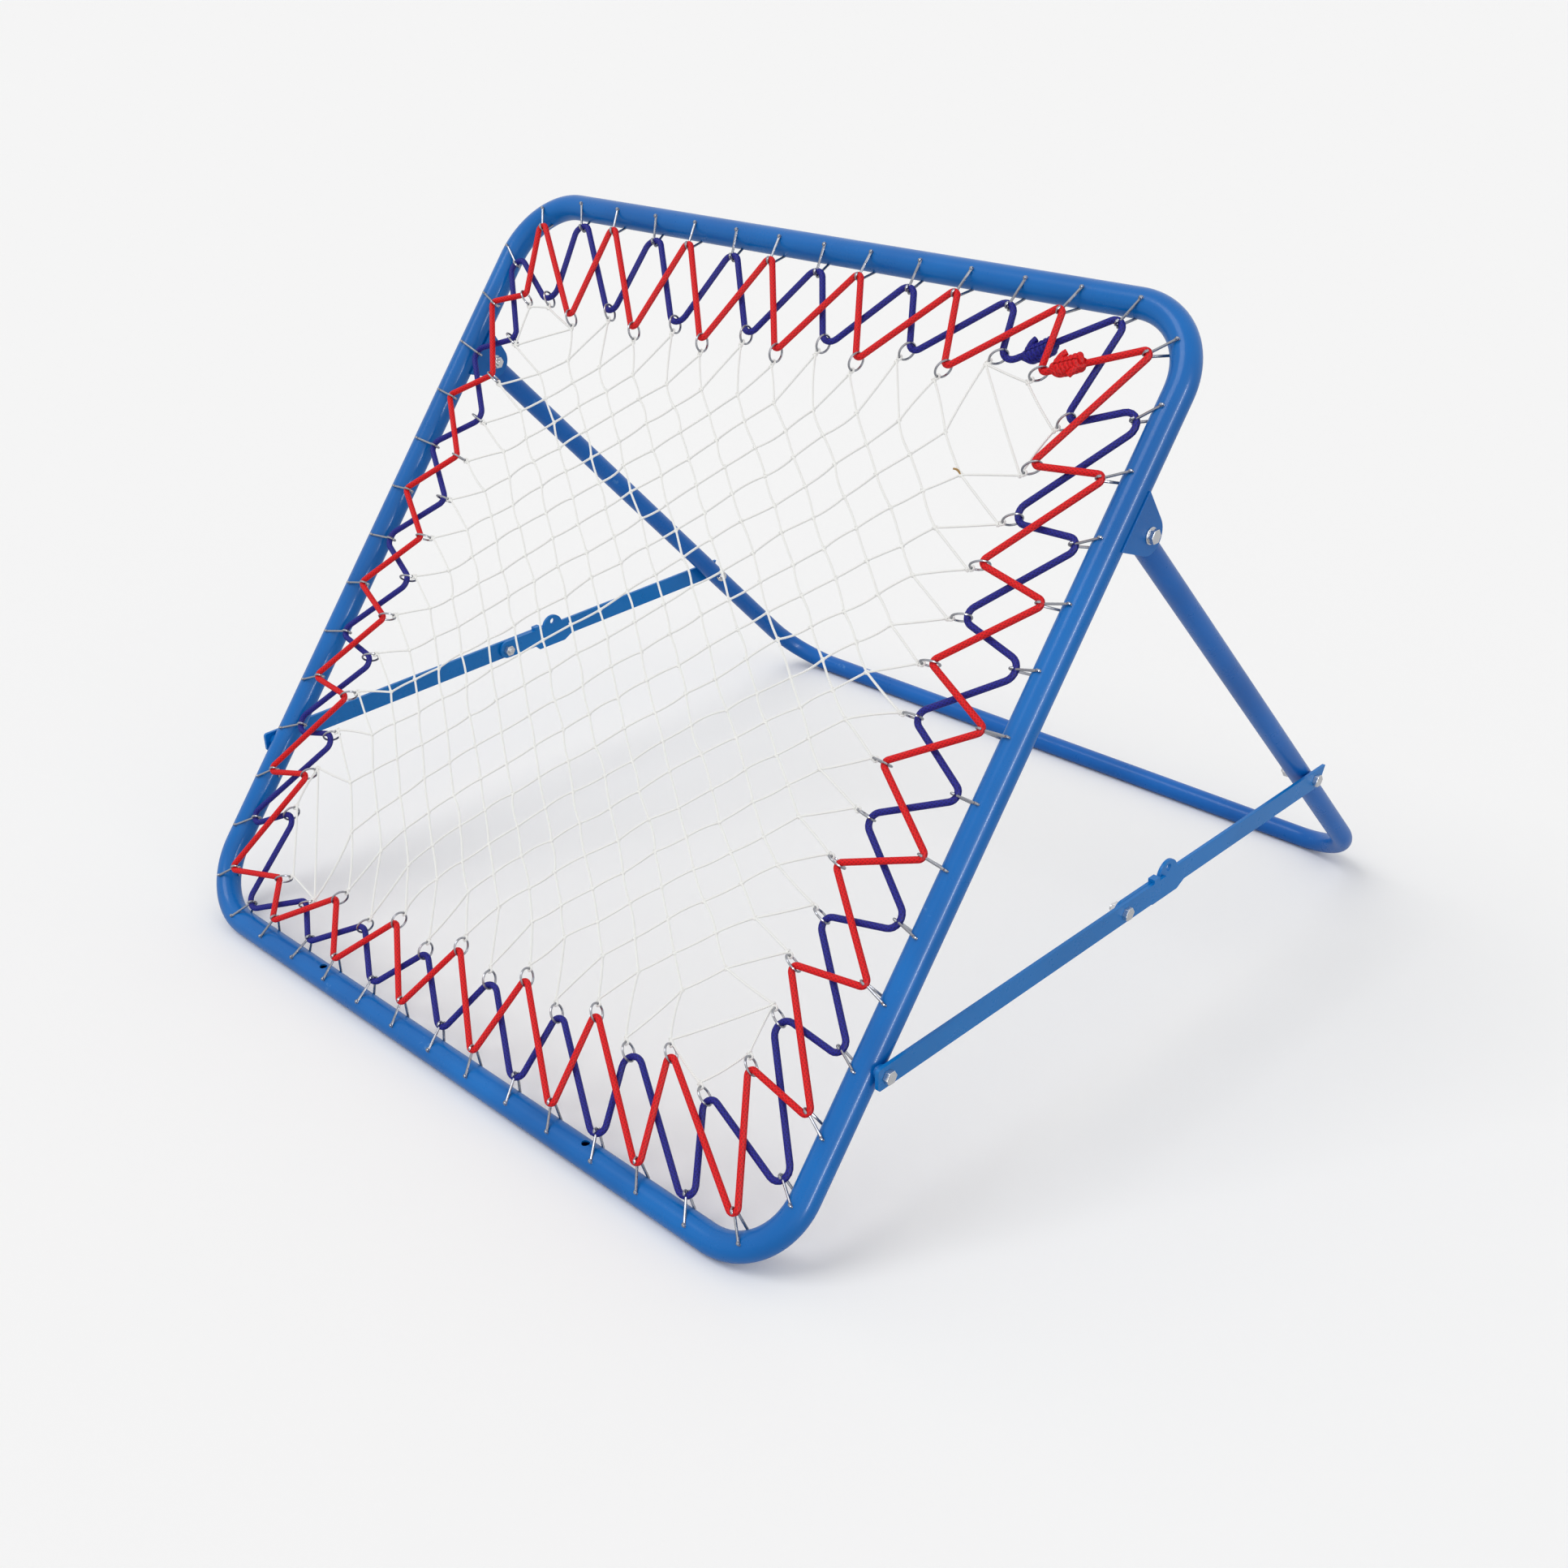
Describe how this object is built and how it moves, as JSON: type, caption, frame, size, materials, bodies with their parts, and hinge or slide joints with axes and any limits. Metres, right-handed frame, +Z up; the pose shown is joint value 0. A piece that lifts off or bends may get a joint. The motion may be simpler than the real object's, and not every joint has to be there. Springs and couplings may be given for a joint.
{
  "type": "tchoukball frame",
  "caption": "Square steel tube rebound frame with an elastic-hung diamond net, held at a tilt by a folding rear leg and flat side stays.",
  "frame": {"origin": "on the floor, under the middle of the part's outline seen from above", "axes": "+X to the right for a thrower who faces the net, +Y from the net's foot towards the rear leg's foot, +Z up"},
  "size_m": [1.0286, 1.099, 0.7944],
  "materials": {
    "tube_paint": "satin blue powder coat",
    "bar_paint": "satin blue powder coat",
    "zinc_steel": "bright zinc plated",
    "ring_steel": "plated wire",
    "hook_steel": "plated wire",
    "red_cord": "braided cover over rubber",
    "navy_cord": "braided cover over rubber",
    "net_cord": "white braided net cord"
  },
  "bodies": {
    "main_frame": {"ring_tube": "tube_paint", "hinge_ears": "tube_paint", "hinge_bolts": "zinc_steel", "hinge_nuts": "zinc_steel", "hinge_washers": "zinc_steel", "stay_bushes_front": "tube_paint", "front_pivot_bolts": "zinc_steel", "front_pivot_nuts": "zinc_steel", "hooks_top": "hook_steel", "hooks_right": "hook_steel", "hooks_bottom": "hook_steel", "hooks_left": "hook_steel", "rings_top": "ring_steel", "rings_right": "ring_steel", "rings_bottom": "ring_steel", "rings_left": "ring_steel", "red_elastic": "red_cord", "blue_elastic": "navy_cord", "red_knot": "red_cord", "blue_knot": "navy_cord", "net": "net_cord"},
    "leg_frame": {"leg_tube": "tube_paint", "stay_bushes_rear": "tube_paint", "rear_pivot_studs": "zinc_steel", "rear_pivot_nuts": "zinc_steel"},
    "front_stay_left": {"front_bar_left": "bar_paint", "knee_bolt_left": "zinc_steel", "knee_nut_left": "zinc_steel"},
    "rear_stay_left": {"rear_bar_left": "bar_paint", "rear_pivot_head_left": "zinc_steel"},
    "front_stay_right": {"front_bar_right": "bar_paint", "knee_bolt_right": "zinc_steel", "knee_nut_right": "zinc_steel"},
    "rear_stay_right": {"rear_bar_right": "bar_paint", "rear_pivot_head_right": "zinc_steel"}
  },
  "joints": [
    {"name": "leg_hinge", "type": "hinge", "parent": "main_frame", "child": "leg_frame", "pos_m": [0, -0.03764, 0.59813], "axis": [-1, 0, 0], "range_deg": [0, 75.49]},
    {"name": "front_stay_pivot_left", "type": "hinge", "parent": "main_frame", "child": "front_stay_left", "pos_m": [-0.5049, -0.40208, 0.18363], "axis": [1, 0, 0], "range_deg": [0, 46.32]},
    {"name": "knee_left", "type": "hinge", "parent": "front_stay_left", "child": "rear_stay_left", "pos_m": [-0.5006, -0.02914, 0.19009], "axis": [-1, 0, 0], "range_deg": [0, 164.93]},
    {"name": "front_stay_pivot_right", "type": "hinge", "parent": "main_frame", "child": "front_stay_right", "pos_m": [0.5049, -0.40208, 0.18363], "axis": [1, 0, 0], "range_deg": [0, 46.32]},
    {"name": "knee_right", "type": "hinge", "parent": "front_stay_right", "child": "rear_stay_right", "pos_m": [0.5006, -0.02914, 0.19009], "axis": [-1, 0, 0], "range_deg": [0, 164.93]}
  ],
  "couplings": [
    {"joint": "front_stay_pivot_left", "follows": "leg_hinge", "ratio": 0.61357},
    {"joint": "knee_left", "follows": "leg_hinge", "ratio": 2.1848},
    {"joint": "front_stay_pivot_right", "follows": "leg_hinge", "ratio": 0.61357},
    {"joint": "knee_right", "follows": "leg_hinge", "ratio": 2.1848}
  ]
}
